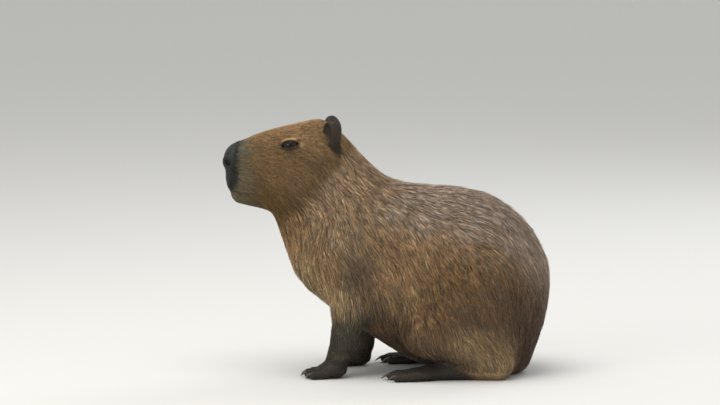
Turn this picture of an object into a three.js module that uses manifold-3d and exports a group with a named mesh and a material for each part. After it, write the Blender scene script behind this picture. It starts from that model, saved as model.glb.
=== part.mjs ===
// A life-size capybara sitting on its haunches with straight forelegs, head level.
// The animal faces -X, its left side is toward -Y, +Z is up, and it rests on the plane z = 0. Sizes in mm.
// The outer surface is the outline out to the tips of the coat.
import * as THREE from 'three';
import { mergeVertices } from 'three/addons/utils/BufferGeometryUtils.js';
import Module from 'manifold-3d';

const wasm = await Module();
wasm.setup();
const { Manifold, Mesh } = wasm;

// ---------- driving sizes ----------
const GAP = 0.3;            // width of the thin cut between neighbouring solids
const EYE_CENTRE = { x: -205, y: 48.5, z: 498.5 };
const EYE_RADIUS = 19;
const EAR_CENTRE = { x: -117, y: 56, z: 524 };
const EAR_OUTER = [23, 16, 31];
const EAR_HOLLOW = [14, 12, 22];
const FAR_FORELEG_BACK = 52;    // how far the right foreleg stands behind the left one
const FAR_HINDFOOT_FORWARD = 12;
const FOREFOOT_TOP = 40;        // height of the cut between foreleg and forefoot
const HINDFOOT_TOP = 42;
const SEAT_ROUNDING = 34;       // softening of the underside toward the floor
const CENTRING = { x: -1.5, y: 0 };

// Ribs of the body in the side plane: top x, top z, bottom x, bottom z, half width,
// height of the widest point as a fraction, and the squareness above and below it.
const RIBS = {
  muzzle_front: [-351.5, 468.3, -343.9, 410.4, 38, 0.50, 3.0, 2.8],
  nose_top: [-332.0, 487.9, -329.8, 387.5, 44, 0.48, 3.0, 2.7],
  nose_bridge: [-303.8, 508.7, -302.7, 372.2, 47, 0.46, 2.9, 2.5],
  upper_lip_back: [-269.1, 524.0, -273.4, 363.4, 51, 0.44, 2.8, 2.4],
  eye_front: [-230.0, 534.9, -251.7, 351.4, 61, 0.45, 2.8, 2.3],
  brow: [-186.6, 544.7, -238.7, 329.6, 70, 0.47, 2.7, 2.2],
  ear_front: [-138.9, 551.3, -230.0, 303.4, 76, 0.46, 2.4, 2.2],
  ear_back: [-93.3, 519.6, -219.2, 272.8, 82, 0.46, 2.2, 2.1],
  nape: [-54.2, 478.1, -206.2, 235.7, 92, 0.47, 2.1, 2.1],
  neck_mid: [-11.9, 436.6, -182.3, 194.2, 106, 0.46, 2.1, 2.1],
  neck_base: [30.4, 417.0, -130.2, 150.5, 119, 0.45, 2.1, 2.2],
  withers: [84.6, 410.4, -47.7, 91.5, 128, 0.43, 2.1, 2.3],
  back_front: [156.2, 404.9, 30.4, 41.0, 137, 0.42, 2.1, 2.4],
  back_mid: [225.7, 388.6, 82.5, 15.0, 141, 0.42, 2.1, 2.4],
  loin: [282.1, 351.4, 112.8, 4.2, 142, 0.43, 2.1, 2.4],
  croup: [323.3, 303.4, 130.2, -8.9, 141, 0.45, 2.1, 2.3],
  rump_top: [350.5, 244.4, 143.2, -22.0, 134, 0.47, 2.1, 2.3],
  rump_back: [355.9, 181.1, 151.9, -35.1, 128, 0.49, 2.1, 2.2],
  rump_low: [342.9, 109.0, 158.4, -48.2, 112, 0.50, 2.1, 2.1],
  seat_back: [323.3, 47.9, 162.8, -61.3, 88, 0.50, 2.1, 2.1],
  seat_low: [301.6, -17.7, 164.9, -76.6, 66, 0.50, 2.1, 2.1],
  seat_end: [273.4, -83.2, 164.9, -94.1, 46, 0.50, 2.1, 2.1],
};

// ---------- the lofted body ----------
function catmull(rows, per) {
  const m = rows.length, w = rows[0].length;
  const row = (i) => {
    if (i < 0) return rows[0].map((v, k) => 2 * v - rows[1][k]);
    if (i >= m) return rows[m - 1].map((v, k) => 2 * v - rows[m - 2][k]);
    return rows[i];
  };
  const out = [];
  for (let i = 0; i < m - 1; i++) {
    const [a, b, c, d] = [row(i - 1), row(i), row(i + 1), row(i + 2)];
    for (let j = 0; j < per; j++) {
      const t = j / per, r = [];
      for (let k = 0; k < w; k++) {
        r.push(0.5 * (2 * b[k] + (c[k] - a[k]) * t + (2 * a[k] - 5 * b[k] + 4 * c[k] - d[k]) * t * t
          + (-a[k] + 3 * b[k] - 3 * c[k] + d[k]) * t * t * t));
      }
      out.push(r);
    }
  }
  out.push(rows[m - 1].slice());
  return out;
}
const FRAMES = catmull(Object.values(RIBS), 5).map(([dx, dz, vx, vz, w, m, nu, nl]) => {
  const len = Math.hypot(dx - vx, dz - vz);
  const ux = (dx - vx) / len, uz = (dz - vz) / len;
  return [vx + (dx - vx) * m, vz + (dz - vz) * m, ux, uz, len * (1 - m), len * m, w, nu, nl];
});
function ribAt(x, z) {
  const n = FRAMES.length;
  let best = -1, bt = 0, bd = 1e9, first = 0, prev = 0;
  for (let i = 0; i < n; i++) {
    const f = FRAMES[i];
    const s = (x - f[0]) * f[3] - (z - f[1]) * f[2];
    if (i === 0) first = s;
    else if (prev >= 0 && s < 0) {
      const t = prev / (prev - s), p = FRAMES[i - 1];
      const d = Math.hypot(x - (p[0] + (f[0] - p[0]) * t), z - (p[1] + (f[1] - p[1]) * t));
      if (d < bd) { bd = d; best = i - 1; bt = t; }
    }
    prev = s;
  }
  if (best < 0) { if (first < 0) { best = 0; bt = 0; } else { best = n - 2; bt = 1; } }
  const a = FRAMES[best], b = FRAMES[best + 1];
  const q = a.map((v, k) => v + (b[k] - v) * bt);
  const v = ((x - q[0]) * q[2] + (z - q[1]) * q[3]) / Math.hypot(q[2], q[3]);
  return { v, up: q[4], down: q[5], w: q[6], nu: q[7], nl: q[8], front: -first };
}
const smin = (a, b, k) => { const h = Math.max(k - Math.abs(a - b), 0) / k; return Math.min(a, b) - h * h * k * 0.25; };
const smax = (a, b, k) => -smin(-a, -b, k);
function loft(x, y, z) {
  const r = ribAt(x, z), h = r.v > 0 ? r.up : r.down, n = r.v > 0 ? r.nu : r.nl;
  const d = Math.hypot(y, r.v);
  const rho = Math.max((Math.abs(y / r.w) ** n + Math.abs(r.v / h) ** n) ** (1 / n), 1e-6);
  const f = d < 1e-6 ? -Math.min(r.w, h) : d - d / rho;
  return smax(smax(f, r.front, 26), -z, SEAT_ROUNDING);
}

// ---------- rounded volumes blended onto it ----------
function turn(ax, ay, az) {
  return new THREE.Matrix3().setFromMatrix4(new THREE.Matrix4().makeRotationFromEuler(new THREE.Euler(ax, ay, az, 'ZYX')));
}
function ellipsoid(c, r, R) {
  const inv = R ? R.clone().transpose() : null, q = new THREE.Vector3();
  return {
    lo: c.map((v) => v - Math.max(...r)), hi: c.map((v) => v + Math.max(...r)),
    f: (x, y, z) => {
      q.set(x - c[0], y - c[1], z - c[2]);
      if (inv) q.applyMatrix3(inv);
      const k0 = Math.hypot(q.x / r[0], q.y / r[1], q.z / r[2]);
      const k1 = Math.hypot(q.x / (r[0] * r[0]), q.y / (r[1] * r[1]), q.z / (r[2] * r[2]));
      return k0 * (k0 - 1) / Math.max(k1, 1e-9);
    },
  };
}
function cone(a, b, ra, rb) {
  const m = Math.max(ra, rb), e = b.map((v, i) => v - a[i]), ee = e[0] ** 2 + e[1] ** 2 + e[2] ** 2;
  return {
    lo: a.map((v, i) => Math.min(v, b[i]) - m), hi: a.map((v, i) => Math.max(v, b[i]) + m),
    f: (x, y, z) => {
      const h = Math.min(1, Math.max(0, ((x - a[0]) * e[0] + (y - a[1]) * e[1] + (z - a[2]) * e[2]) / ee));
      return Math.hypot(x - a[0] - h * e[0], y - a[1] - h * e[1], z - a[2] - h * e[2]) - (ra + (rb - ra) * h);
    },
  };
}
const VOLUMES = [], TOES = [];
const add = (k, shape, detail = 0) => VOLUMES.push({ k, detail, ...shape });
const plus = (a, b) => a.map((v, i) => v + b[i]);
for (const s of [-1, 1]) {
  add(30, ellipsoid([-190, s * 48, 410], [54, 26, 42]));                       // cheek
  add(14, ellipsoid([-212, s * 43, 522], [27, 12, 9]));                        // brow
  add(10, ellipsoid([EYE_CENTRE.x, s * (EYE_CENTRE.y - 4), EYE_CENTRE.z], [23, 12, 16])); // eyelids
  add(12, ellipsoid([-322, s * 20, 420], [24, 24, 28]));                       // lip
  add(9, ellipsoid([-334, s * 26, 463], [16, 15, 19]));                        // side of the nose
}
add(20, ellipsoid([-322, 0, 470], [28, 40, 30]));
add(16, cone([-314, 0, 389], [-250, 0, 386], 21, 30));                         // lower jaw
for (const [side, s, back, fwd] of [['left', -1, 0, 0], ['right', 1, FAR_FORELEG_BACK, -FAR_HINDFOOT_FORWARD]]) {
  const shoulder = [-98 + back * 0.35, s * 82, 258], elbow = [-74 + back * 0.8, s * 93, 158], wrist = [-103 + back, s * 88, 46];
  add(50, ellipsoid([-58 + back * 0.3, s * 73, 300], [54, 46, 88], turn(0, -0.3, 0)));
  add(32, cone(shoulder, elbow, 54, 43));
  add(22, cone(elbow, wrist, 39, 23));
  add(14, cone(wrist, plus(wrist, [-8, 0, -22]), 22, 21), 1);
  add(14, ellipsoid(plus(wrist, [-16, 0, -30]), [34, 32, 17]), 1);
  for (const [dy, deg, len] of [[-23, -16, 25], [-8, -5, 34], [9, 5, 34], [24, 17, 25]]) {
    const a = THREE.MathUtils.degToRad(deg), st = plus(wrist, [-30, dy, -36]);
    const en = plus(st, [-Math.cos(a) * len, Math.sin(a) * len, -1]);
    add(6, cone(st, en, 11.5, 10), 2);
    TOES.push({ foot: 'forefoot_' + side, tip: en, a, len: 15, r: 4.2, side });
  }
  const hip = [214, s * 90, 212], knee = [88 + fwd, s * 120, 108], heel = [240 + fwd, s * 113, 38];
  add(24, cone(hip, knee, 83, 53));
  add(26, cone(plus(knee, [0, s * 2, -10]), heel, 44, 37));
  add(16, cone(plus(heel, [-4, 0, -17]), [92 + fwd, s * 123, 15], 23, 17), 1);
  add(14, ellipsoid([74 + fwd, s * 123, 13], [40, 33, 15]), 1);
  for (const [dy, deg, len] of [[-23, -9, 40], [0, 0, 52], [23, 9, 40]]) {
    const a = THREE.MathUtils.degToRad(deg), st = [62 + fwd, s * 123 + dy, 10];
    const en = plus(st, [-Math.cos(a) * len, Math.sin(a) * len, -1.5]);
    add(8, cone(st, en, 11.5, 9.5), 2);
    TOES.push({ foot: 'hindfoot_' + side, tip: en, a, len: 19, r: 5, side });
  }
}
// detail 0: torso, head and upper legs; 1: with wrists, palms and soles; 2: with the toes
function body(x, y, z, detail = 2) {
  let f = loft(x, y, z);
  for (const v of VOLUMES) {
    if (v.detail > detail) continue;
    const m = v.k + 12;
    if (x > v.lo[0] - m && x < v.hi[0] + m && y > v.lo[1] - m && y < v.hi[1] + m && z > v.lo[2] - m && z < v.hi[2] + m) {
      f = smin(f, v.f(x, y, z), v.k);
    }
  }
  return f;
}
function ear(s) {
  const c = [EAR_CENTRE.x, s * EAR_CENTRE.y, EAR_CENTRE.z], R = turn(-s * 0.22, 0.1, s * 0.66);
  const off = new THREE.Vector3(-6, s * 12, 4).applyMatrix3(R);
  const outer = ellipsoid(c, EAR_OUTER, R), hollow = ellipsoid(plus(c, off.toArray()), EAR_HOLLOW, R);
  const root = cone([c[0] - 2, s * 40, c[2] - 30], plus(c, [2, -s * 3, -8]), 15, 12);
  return (x, y, z) => smax(smin(outer.f(x, y, z), root.f(x, y, z), 8), -hollow.f(x, y, z), 4);
}

// ---------- surface of a volume on a regular grid ----------
function surface(fn, lo, hi, h, shift) {
  const n = [0, 1, 2].map((i) => Math.max(3, Math.ceil((hi[i] - lo[i]) / h) + 1));
  const at = (i, k) => lo[i] + (k + shift) * h;
  const F = new Float64Array(n[0] * n[1] * n[2]);
  const id = (i, j, k) => (i * n[1] + j) * n[2] + k;
  for (let i = 0; i < n[0]; i++) for (let j = 0; j < n[1]; j++) for (let k = 0; k < n[2]; k++) {
    const edge = i === 0 || j === 0 || k === 0 || i === n[0] - 1 || j === n[1] - 1 || k === n[2] - 1;
    let f = fn(at(0, i), at(1, j), at(2, k));
    if (Math.abs(f) < 1e-4) f = 1e-4;
    F[id(i, j, k)] = edge ? Math.max(f, 0.4 * h) : f;
  }
  const cell = new Int32Array(F.length).fill(-1), pos = [], free = [];
  for (let i = 0; i < n[0] - 1; i++) for (let j = 0; j < n[1] - 1; j++) for (let k = 0; k < n[2] - 1; k++) {
    let c = 0, sx = 0, sy = 0, sz = 0;
    const edge = (a, b) => {
      const fa = F[id(i + a[0], j + a[1], k + a[2])], fb = F[id(i + b[0], j + b[1], k + b[2])];
      if ((fa < 0) === (fb < 0)) return;
      const t = fa / (fa - fb);
      sx += a[0] + (b[0] - a[0]) * t; sy += a[1] + (b[1] - a[1]) * t; sz += a[2] + (b[2] - a[2]) * t; c++;
    };
    for (const p of [0, 1]) for (const q of [0, 1]) {
      edge([0, p, q], [1, p, q]); edge([p, 0, q], [p, 1, q]); edge([p, q, 0], [p, q, 1]);
    }
    if (!c) continue;
    cell[id(i, j, k)] = pos.length;
    pos.push([at(0, i + sx / c), at(1, j + sy / c), at(2, k + sz / c)]);
    free.push(i > 0 && j > 0 && k > 0 && i < n[0] - 2 && j < n[1] - 2 && k < n[2] - 2);
  }
  const e = 0.5;
  pos.forEach((p, q) => {
    if (!free[q]) return;
    for (let it = 0; it < 3; it++) {
      const f = fn(...p);
      const g = [0, 1, 2].map((a) => {
        const u = p.slice(), v = p.slice(); u[a] += e; v[a] -= e;
        return (fn(...u) - fn(...v)) / (2 * e);
      });
      const g2 = Math.max(g[0] ** 2 + g[1] ** 2 + g[2] ** 2, 1e-3);
      const len = Math.abs(f) / Math.sqrt(g2), lim = Math.min(1, 0.3 * h / Math.max(len, 1e-9));
      for (let a = 0; a < 3; a++) p[a] -= f / g2 * g[a] * lim;
    }
  });
  const tri = [];
  const quad = (a, b, c, d, flip) => {
    const l = (u, v) => Math.hypot(pos[u][0] - pos[v][0], pos[u][1] - pos[v][1], pos[u][2] - pos[v][2]);
    const t = l(a, c) < l(b, d) ? [[a, b, c], [a, c, d]] : [[a, b, d], [b, c, d]];
    for (const q of t) tri.push(...(flip ? [q[0], q[2], q[1]] : q));
  };
  for (let i = 0; i < n[0] - 1; i++) for (let j = 0; j < n[1] - 1; j++) for (let k = 0; k < n[2] - 1; k++) {
    const f0 = F[id(i, j, k)] < 0;
    if (j && k && f0 !== F[id(i + 1, j, k)] < 0) quad(cell[id(i, j - 1, k - 1)], cell[id(i, j, k - 1)], cell[id(i, j, k)], cell[id(i, j - 1, k)], !f0);
    if (i && k && f0 !== F[id(i, j + 1, k)] < 0) quad(cell[id(i - 1, j, k - 1)], cell[id(i - 1, j, k)], cell[id(i, j, k)], cell[id(i, j, k - 1)], !f0);
    if (i && j && f0 !== F[id(i, j, k + 1)] < 0) quad(cell[id(i - 1, j - 1, k)], cell[id(i, j - 1, k)], cell[id(i, j, k)], cell[id(i - 1, j, k)], !f0);
  }
  return { vert: Float32Array.from(pos.flat()), tri: Uint32Array.from(tri) };
}
function solidOf(vert, tri) {
  return new Manifold(new Mesh({ numProp: 3, vertProperties: vert, triVerts: tri }));
}
function grown(fn, lo, hi, h) {
  for (let t = 0; t < 24; t++) {
    const m = surface(fn, lo, hi, h * (1 - 0.004 * t), 0.13 + 0.037 * t);
    try { const s = solidOf(m.vert, m.tri); if (s.volume() > 0) return s; } catch (err) { /* next grid */ }
  }
  throw new Error('no closed surface found');
}
function fromGeometry(g, matrix) {
  const c = g.clone();
  for (const k of Object.keys(c.attributes)) if (k !== 'position') c.deleteAttribute(k);
  if (matrix) c.applyMatrix4(matrix);
  const m = mergeVertices(c, 1e-3);
  return solidOf(Float32Array.from(m.attributes.position.array), Uint32Array.from(m.index.array));
}
const largest = (m) => m.decompose().sort((a, b) => b.volume() - a.volume())[0];

// a big block whose flat side lies on a tilted plane across the body (side-view line a-b), moved by off along the normal
function slab(a, b, sign, off) {
  const len = Math.hypot(b[0] - a[0], b[1] - a[1]), nx = -sign * (b[1] - a[1]) / len, nz = sign * (b[0] - a[0]) / len;
  const size = 1600, g = new THREE.BoxGeometry(size, size, size);
  const M = new THREE.Matrix4().makeBasis(new THREE.Vector3(nx, 0, nz), new THREE.Vector3(0, 1, 0), new THREE.Vector3(-nz, 0, nx));
  const d = off + size / 2;
  M.setPosition((a[0] + b[0]) / 2 + nx * d, 0, (a[1] + b[1]) / 2 + nz * d);
  return fromGeometry(g, M);
}
// a flat-sided prism: side-view outline pushed sideways from y0 to y1, grown by pad
function prism(outline, y0, y1, pad) {
  const cx = outline.reduce((q, p) => q + p[0], 0) / outline.length, cz = outline.reduce((q, p) => q + p[1], 0) / outline.length;
  const shape = new THREE.Shape(outline.map(([x, z]) => {
    const l = Math.hypot(x - cx, z - cz);
    return new THREE.Vector2(x + (x - cx) / l * pad * 1.6, z + (z - cz) / l * pad * 1.6);
  }));
  const lo = Math.min(y0, y1) - pad, hi = Math.max(y0, y1) + pad;
  const g = new THREE.ExtrudeGeometry(shape, { depth: hi - lo, bevelEnabled: false, steps: 1 });
  return fromGeometry(g, new THREE.Matrix4().makeRotationX(Math.PI / 2).setPosition(0, hi, 0));
}
const NECK_FRONT = [[-84, 512], [-232, 338]], NECK_BACK = [[2, 428], [-172, 178]];
const above = (z) => fromGeometry(new THREE.BoxGeometry(2000, 2000, 2000), new THREE.Matrix4().setPosition(0, 0, z + 1000));
const below = (z) => fromGeometry(new THREE.BoxGeometry(2000, 2000, 2000), new THREE.Matrix4().setPosition(0, 0, z - 1000));

// side-view outlines of the leg regions
const foreOutline = (b) => [[-164 + b, 20], [-146 + b, 150], [-116 + b * 0.9, 182], [-74 + b * 0.85, 188], [-38 + b * 0.85, 160], [-46 + b, 90], [-60 + b, 20]];
function hindOutline(f) {
  const out = [];
  for (let i = 0; i < 14; i++) {
    const a = -0.35 + i / 13 * (Math.PI + 0.62);
    out.push([196 + f + 118 * Math.cos(a) * (Math.cos(a) < 0 ? 1.06 : 0.78), 176 + 118 * Math.sin(a)]);
  }
  out.push([70 + f, 62], [120 + f, 20], [292 + f, 20], [286 + f, 60]);
  return out;
}
const floorUp = above(0);
const torso = (x, y, z) => body(x, y, z, 0), limbs = (x, y, z) => body(x, y, z, 1);

// ---------- parts ----------
const parts = {};
parts.trunk = (() => {
  let m = grown(torso, [-240, -230, -70], [420, 230, 480], 36);
  m = m.intersect(slab(...NECK_BACK, 1, GAP / 2)).intersect(floorUp);
  for (const [s, b, f] of [[-1, 0, 0], [1, FAR_FORELEG_BACK, -FAR_HINDFOOT_FORWARD]]) {
    m = m.subtract(prism(foreOutline(b), s * 46, s * 190, GAP));
    m = m.subtract(fromGeometry(new THREE.BoxGeometry(190, 140, 72), new THREE.Matrix4().setPosition(-110 + b, s * 90, 0)));
    m = m.subtract(prism(hindOutline(f), s * 104, s * 230, GAP));
    m = m.subtract(fromGeometry(new THREE.BoxGeometry(320 + 2 * GAP, 184 + 2 * GAP, 2 * HINDFOOT_TOP), new THREE.Matrix4().setPosition(122 + f, s * 168, 0)));
  }
  return largest(m);
})();
const headSolid = (iso) => grown((x, y, z) => torso(x, y, z) - iso, [-392, -120, 250], [-40, 120, 590], 16);
const headRegion = slab(...NECK_FRONT, -1, GAP / 2);
parts.neck = largest(grown(torso, [-290, -160, 120], [70, 160, 570], 33)
  .intersect(slab(...NECK_FRONT, 1, GAP / 2)).intersect(slab(...NECK_BACK, -1, GAP / 2)));
let head = headSolid(0).intersect(headRegion);
const headShell = headSolid(0.8);
for (const [side, s] of [['left', -1], ['right', 1]]) {
  const c = new THREE.Matrix4().setPosition(EYE_CENTRE.x, s * EYE_CENTRE.y, EYE_CENTRE.z);
  head = head.subtract(fromGeometry(new THREE.SphereGeometry(EYE_RADIUS + 0.9, 14, 9), c));
  parts['eye_' + side] = fromGeometry(new THREE.IcosahedronGeometry(EYE_RADIUS, 1), c);
  const e = EAR_CENTRE;
  parts['ear_' + side] = largest(grown(ear(s), [e.x - 34, Math.min(s * (e.y - 40), s * (e.y + 40)), e.z - 56],
    [e.x + 36, Math.max(s * (e.y - 40), s * (e.y + 40)), e.z + 48], 7.7).subtract(headShell));
}
parts.head = largest(head);
for (const [side, s, b, f] of [['left', -1, 0, 0], ['right', 1, FAR_FORELEG_BACK, -FAR_HINDFOOT_FORWARD]]) {
  const ys = [s * 46, s * 190];
  parts['foreleg_' + side] = largest(grown(limbs, [-190 + b, Math.min(...ys) - 30, 4], [40 + b, Math.max(...ys) + 30, 240], 20)
    .intersect(prism(foreOutline(b), ...ys, 0)).intersect(above(FOREFOOT_TOP + GAP / 2)));
  parts['forefoot_' + side] = largest(grown(body, [-200 + b, s * 88 - 70, -30], [-20 + b, s * 88 + 70, 62], 12.0)
    .intersect(below(FOREFOOT_TOP - GAP / 2)).intersect(floorUp));
  parts['hindleg_' + side] = largest(grown(limbs, [30 + f, Math.min(s * 104, s * 230) - 40, -20], [340 + f, Math.max(s * 104, s * 230) + 40, 340], 24)
    .intersect(prism(hindOutline(f), s * 104, s * 230, 0)).intersect(above(HINDFOOT_TOP + GAP)));
  const ya = Math.min(s * 76, s * 260), yb = Math.max(s * 76, s * 260);
  parts['hindfoot_' + side] = largest(grown(body, [-24 + f, Math.min(ya, yb) - 30, -30], [312 + f, Math.max(ya, yb) + 30, 72], 15)
    .intersect(fromGeometry(new THREE.BoxGeometry(320, yb - ya - 2 * GAP, 2 * (HINDFOOT_TOP - GAP)), new THREE.Matrix4().setPosition(122 + f, (ya + yb) / 2, 0)))
    .intersect(floorUp));
}

// claws: short curved hoof-like nails at the ends of the toes
const claws = {};
{
  const shells = {};
  const count = {};
  for (const t of TOES) {
    count[t.foot] = (count[t.foot] || 0) + 1;
    const name = t.foot.replace('forefoot', 'foreclaw').replace('hindfoot', 'hindclaw') + '_' + count[t.foot];
    const dir = [-Math.cos(t.a), Math.sin(t.a)], up = t.r * 0.9;
    const p = [-6, 2, 8, t.len - 2].map((d, i) => new THREE.Vector3(t.tip[0] + dir[0] * (d + 4), t.tip[1] + dir[1] * (d + 4), t.tip[2] + [up, up, up * 0.4, -up][i]));
    const curve = new THREE.CatmullRomCurve3(p), seg = 3, rad = 5, vert = [], tri = [];
    const lat = new THREE.Vector3(-dir[1], dir[0], 0);
    for (let i = 0; i <= seg; i++) {
      const u = i / seg, c = curve.getPointAt(u), tg = curve.getTangentAt(u), nrm = new THREE.Vector3().crossVectors(lat, tg).normalize();
      const rr = t.r * (1 - 0.72 * u * u);
      for (let j = 0; j < rad; j++) {
        const a = j / rad * Math.PI * 2;
        vert.push(...c.clone().addScaledVector(lat, rr * Math.cos(a) * 1.15).addScaledVector(nrm, rr * Math.sin(a) * 0.85).toArray());
      }
    }
    const g = (i, j) => i * rad + (j % rad);
    for (let i = 0; i < seg; i++) for (let j = 0; j < rad; j++) tri.push(g(i, j), g(i, j + 1), g(i + 1, j), g(i, j + 1), g(i + 1, j + 1), g(i + 1, j));
    for (let j = 1; j < rad - 1; j++) { tri.push(g(0, 0), g(0, j + 1), g(0, j)); tri.push(g(seg, 0), g(seg, j), g(seg, j + 1)); }
    let claw = solidOf(Float32Array.from(vert), Uint32Array.from(tri));
    if (claw.volume() < 0) claw = solidOf(Float32Array.from(vert), Uint32Array.from(tri).reverse());
    claws[name] = { claw, foot: t.foot };
  }
  for (const foot of Object.keys(count)) {
    const s = foot.endsWith('left') ? -1 : 1, b = s > 0 ? FAR_FORELEG_BACK : 0, f = s > 0 ? -FAR_HINDFOOT_FORWARD : 0;
    const iso = (x, y, z) => body(x, y, z) - 0.8;
    shells[foot] = foot.startsWith('fore')
      ? grown(iso, [-200 + b, s * 88 - 70, -30], [-20 + b, s * 88 + 70, 62], 12.0)
      : grown(iso, [-24 + f, Math.min(s * 76, s * 260) - 30, -30], [312 + f, Math.max(s * 76, s * 260) + 30, 72], 15);
  }
  for (const [name, c] of Object.entries(claws)) parts[name] = largest(c.claw.intersect(floorUp).subtract(shells[c.foot]).subtract(parts[c.foot]));
}

// ---------- named meshes ----------
const LOOK = {
  head: 0x9a8060, neck: 0x8c7556, trunk: 0x8f785c, foreleg: 0x6e5a44, forefoot: 0x4c443a, hindleg: 0x7f6848,
  hindfoot: 0x4a4136, ear: 0x453b2e, eye: 0x1d0f08, foreclaw: 0x2c2721, hindclaw: 0x2c2721,
};
const group = new THREE.Group();
group.name = 'sitting_capybara';
// closes up edges shorter than a hair's breadth left by the cuts
function tidy(pos, tri) {
  const to = Array.from({ length: pos.length / 3 }, (_, i) => i);
  const root = (i) => { while (to[i] !== i) i = to[i]; return i; };
  for (let t = 0; t < tri.length; t += 3) for (const [a, b] of [[0, 1], [1, 2], [2, 0]]) {
    const i = root(tri[t + a]), j = root(tri[t + b]);
    if (i !== j && Math.hypot(pos[3 * i] - pos[3 * j], pos[3 * i + 1] - pos[3 * j + 1], pos[3 * i + 2] - pos[3 * j + 2]) < 0.03) to[Math.max(i, j)] = Math.min(i, j);
  }
  const used = new Map(), p = [], out = [];
  const num = (i) => {
    if (!used.has(i)) { used.set(i, p.length / 3); p.push(pos[3 * i], pos[3 * i + 1], pos[3 * i + 2]); }
    return used.get(i);
  };
  for (let t = 0; t < tri.length; t += 3) {
    const [i, j, k] = [root(tri[t]), root(tri[t + 1]), root(tri[t + 2])];
    if (i !== j && j !== k && k !== i) out.push(num(i), num(j), num(k));
  }
  // two corners on one spot without an edge between them: each moves a little toward its own neighbours
  const near = new Map(), sum = new Float64Array(p.length), cnt = new Uint32Array(p.length / 3);
  for (let t = 0; t < out.length; t += 3) for (const [a, b] of [[0, 1], [1, 2], [2, 0]]) {
    for (let q = 0; q < 3; q++) sum[3 * out[t + a] + q] += p[3 * out[t + b] + q];
    cnt[out[t + a]]++;
  }
  for (let i = 0; i < cnt.length; i++) {
    const key = [0, 1, 2].map((q) => Math.round(p[3 * i + q] * 20)).join();
    near.set(key, [...(near.get(key) || []), i]);
  }
  for (const same of near.values()) if (same.length > 1) for (const i of same) {
    const d = [0, 1, 2].map((q) => sum[3 * i + q] / cnt[i] - p[3 * i + q]), l = Math.hypot(...d) || 1;
    for (let q = 0; q < 3; q++) if (q < 2 || p[3 * i + 2] > 1e-6) p[3 * i + q] += d[q] / l * 0.25;
  }
  return [Float32Array.from(p), Uint32Array.from(out)];
}
for (const [name, solid] of Object.entries(parts)) {
  const m = solid.getMesh(), g = new THREE.BufferGeometry(), src = m.vertProperties, np = m.numProp;
  const raw = new Float32Array(src.length / np * 3);
  for (let i = 0; i < src.length / np; i++) {
    raw[3 * i] = src[np * i] + CENTRING.x; raw[3 * i + 1] = src[np * i + 1] + CENTRING.y; raw[3 * i + 2] = src[np * i + 2];
  }
  const [pos, tri] = tidy(raw, m.triVerts);
  g.setAttribute('position', new THREE.BufferAttribute(pos, 3));
  g.setIndex(new THREE.BufferAttribute(tri, 1));
  g.computeVertexNormals();
  const kind = Object.keys(LOOK).find((k) => name.startsWith(k));
  const mesh = new THREE.Mesh(g, new THREE.MeshStandardMaterial({
    color: LOOK[kind], roughness: kind === 'eye' ? 0.12 : kind.endsWith('claw') ? 0.5 : 0.9, metalness: 0,
  }));
  mesh.name = name;
  group.add(mesh);
}
export default group;
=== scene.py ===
# A life-size capybara sitting on its haunches: one skin under a coat of solid tufts, with eyes and claws of their own.
# Body sizes are worked in millimetres and written to the meshes in metres.
import math
import bpy
import numpy as np
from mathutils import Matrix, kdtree


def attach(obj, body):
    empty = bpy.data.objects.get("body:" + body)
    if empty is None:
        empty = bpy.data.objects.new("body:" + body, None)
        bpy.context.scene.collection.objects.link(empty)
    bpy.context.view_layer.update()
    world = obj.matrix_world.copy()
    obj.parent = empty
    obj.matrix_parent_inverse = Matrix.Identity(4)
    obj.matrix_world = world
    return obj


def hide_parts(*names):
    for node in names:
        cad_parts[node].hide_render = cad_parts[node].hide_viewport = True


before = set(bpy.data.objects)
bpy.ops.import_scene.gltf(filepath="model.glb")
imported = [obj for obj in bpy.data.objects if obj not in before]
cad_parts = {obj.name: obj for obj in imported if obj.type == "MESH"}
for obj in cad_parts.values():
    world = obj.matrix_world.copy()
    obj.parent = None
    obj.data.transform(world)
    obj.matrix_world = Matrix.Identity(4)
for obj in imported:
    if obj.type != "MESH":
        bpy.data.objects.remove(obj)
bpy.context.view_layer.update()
RNG = np.random.default_rng(20)
SHIFT = np.array([-1.5, 0.0, 0.0])

# ------------------------------------------------------------------ camera
EL = math.radians(6.5)
cam_data = bpy.data.cameras.new("camera")
cam = bpy.data.objects.new("camera", cam_data)
bpy.context.scene.collection.objects.link(cam)
cam_data.sensor_width = 36
DIST, TARGET = 8.0, (-0.0579, 0.0, 0.370)
cam_data.lens = 36 * DIST / (720 * 0.00217)
cam.location = (TARGET[0], -DIST * math.cos(EL), TARGET[2] + DIST * math.sin(EL))
cam.rotation_euler = (math.radians(90) - EL, 0, 0)
cam_data.clip_end = 60
bpy.context.scene.camera = cam

# ------------------------------------------------------------------ body shape
EYE_C, EYE_R = np.array([-205.0, 48.5, 498.5]), 19.0
EAR_C, EAR_OUT, EAR_IN = np.array([-117.0, 56.0, 524.0]), (23, 16, 31), (14, 12, 22)
FORE_BACK, HIND_FWD = 52.0, 12.0
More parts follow.
